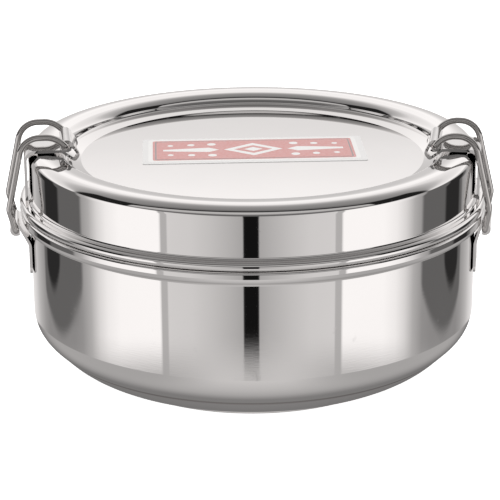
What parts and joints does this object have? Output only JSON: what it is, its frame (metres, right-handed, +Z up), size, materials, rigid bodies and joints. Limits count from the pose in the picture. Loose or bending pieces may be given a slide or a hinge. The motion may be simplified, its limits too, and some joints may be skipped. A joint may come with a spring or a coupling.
{
  "type": "tiffin lunch box",
  "caption": "Round single-tier steel lunch box: bowl with rounded shoulder, deep lid with raised rim, wire-and-plate side clips.",
  "frame": {"origin": "centre of the foot's resting plane", "axes": "+Z up along the turning axis of bowl and lid, +X through the two side clips, +Y to the back"},
  "size_m": [0.1648, 0.1564, 0.0843],
  "materials": {
    "polished_steel": "mirror-polished stainless steel",
    "clip_plate": "polished stainless steel sheet",
    "clip_wire": "drawn stainless steel wire",
    "label": "printed glossy film"
  },
  "bodies": {
    "bowl_body": {"bowl": "polished_steel", "left_bracket": "clip_plate", "right_bracket": "clip_plate"},
    "lid_body": {"lid": "polished_steel", "label": "label"},
    "left_link_body": {"left_wire_link": "clip_wire"},
    "left_lever_body": {"left_lever": "clip_plate"},
    "right_link_body": {"right_wire_link": "clip_wire"},
    "right_lever_body": {"right_lever": "clip_plate"}
  },
  "joints": [
    {"name": "lid_lift", "type": "slide", "parent": "bowl_body", "child": "lid_body", "axis": [0, 0, 1], "range_m": [0, 0.0075]},
    {"name": "left_link_swing", "type": "hinge", "parent": "bowl_body", "child": "left_link_body", "pos_m": [-0.0793, -0.00974, 0.0515], "axis": [0.1219, -0.9925, 0], "range_deg": [0, 160]},
    {"name": "left_lever_fold", "type": "hinge", "parent": "left_link_body", "child": "left_lever_body", "pos_m": [-0.06174, -0.00758, 0.0797], "axis": [0.1219, -0.9925, 0], "range_deg": [0, 32]},
    {"name": "right_link_swing", "type": "hinge", "parent": "bowl_body", "child": "right_link_body", "pos_m": [0.07774, -0.01093, 0.0513], "axis": [0.1392, 0.9903, 0], "range_deg": [0, 160]},
    {"name": "right_lever_fold", "type": "hinge", "parent": "right_link_body", "child": "right_lever_body", "pos_m": [0.0606, -0.00852, 0.0793], "axis": [0.1392, 0.9903, 0], "range_deg": [0, 32]}
  ],
  "couplings": [
    {"joint": "left_link_swing", "follows": "lid_lift", "rad_per_m": 372},
    {"joint": "left_lever_fold", "follows": "lid_lift", "rad_per_m": 74.4},
    {"joint": "right_link_swing", "follows": "lid_lift", "rad_per_m": 372},
    {"joint": "right_lever_fold", "follows": "lid_lift", "rad_per_m": 74.4}
  ]
}
